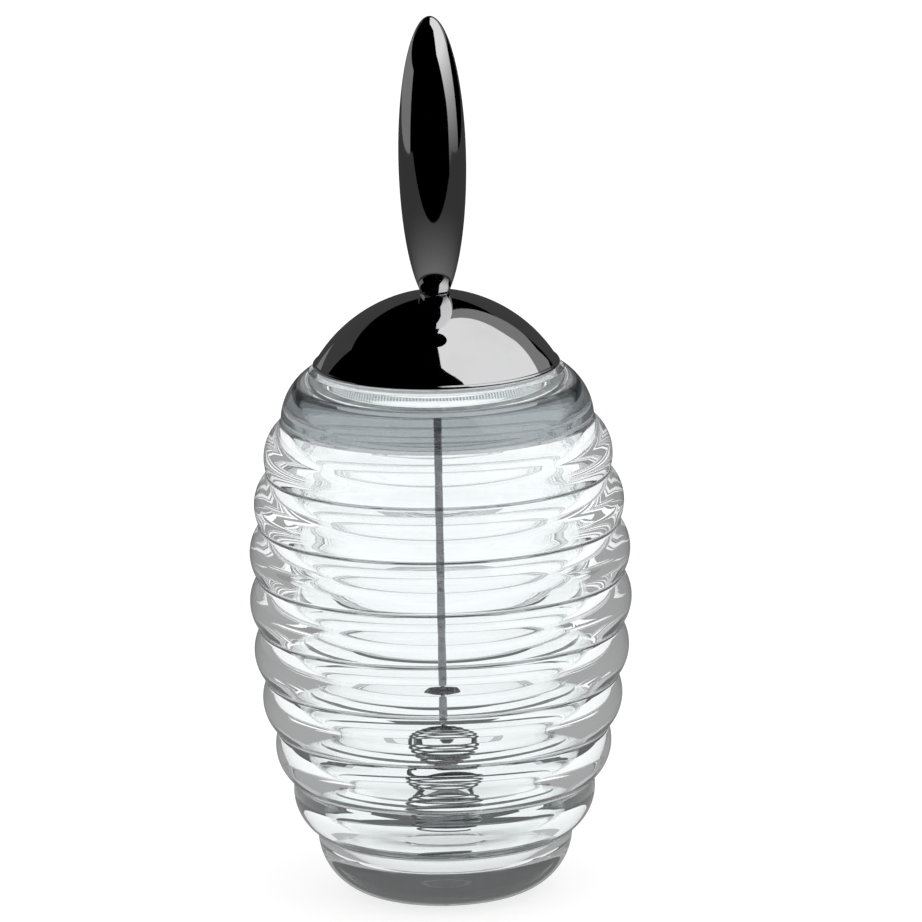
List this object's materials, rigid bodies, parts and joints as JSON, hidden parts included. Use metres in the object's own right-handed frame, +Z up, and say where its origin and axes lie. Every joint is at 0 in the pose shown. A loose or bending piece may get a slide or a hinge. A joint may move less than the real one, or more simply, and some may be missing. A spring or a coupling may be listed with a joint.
{
  "type": "honey pot",
  "caption": "Ribbed glass honey jar shaped like a hive, with a lift-off polished metal dome lid that carries a spindle handle and a wire spiral dipper on a thin stem.",
  "frame": {"origin": "centre of the foot, on the surface that the jar stands on", "axes": "+Z up along the axis of the jar, the lid and the dipper; the pot is round, so +X and +Y are any two level directions"},
  "size_m": [0.084, 0.084, 0.1955],
  "materials": {
    "clear_glass": "thick clear glass, fire polished, faint cool tint",
    "clear_seal": "frosted translucent silicone",
    "polished_steel": "mirror polished stainless steel",
    "pressed_steel": "plain pressed and turned stainless steel",
    "wire_steel": "drawn stainless wire, dull"
  },
  "bodies": {
    "jar": {"glass_jar": "clear_glass"},
    "seal": {"seal_ring": "clear_seal"},
    "lid": {"lid_dome": "polished_steel", "lid_liner": "pressed_steel", "handle": "polished_steel", "lid_stud": "pressed_steel", "clamp_washer": "pressed_steel", "stem_boss": "pressed_steel", "dipper_stem": "wire_steel", "dipper_coil": "wire_steel"}
  },
  "joints": [
    {"name": "lid_lift", "type": "slide", "parent": "jar", "child": "seal", "axis": [0, 0, 1], "range_m": [0, 0.12]},
    {"name": "lid_turn", "type": "hinge", "parent": "seal", "child": "lid", "pos_m": [0, 0, 0.118], "axis": [0, 0, 1], "continuous": true}
  ]
}
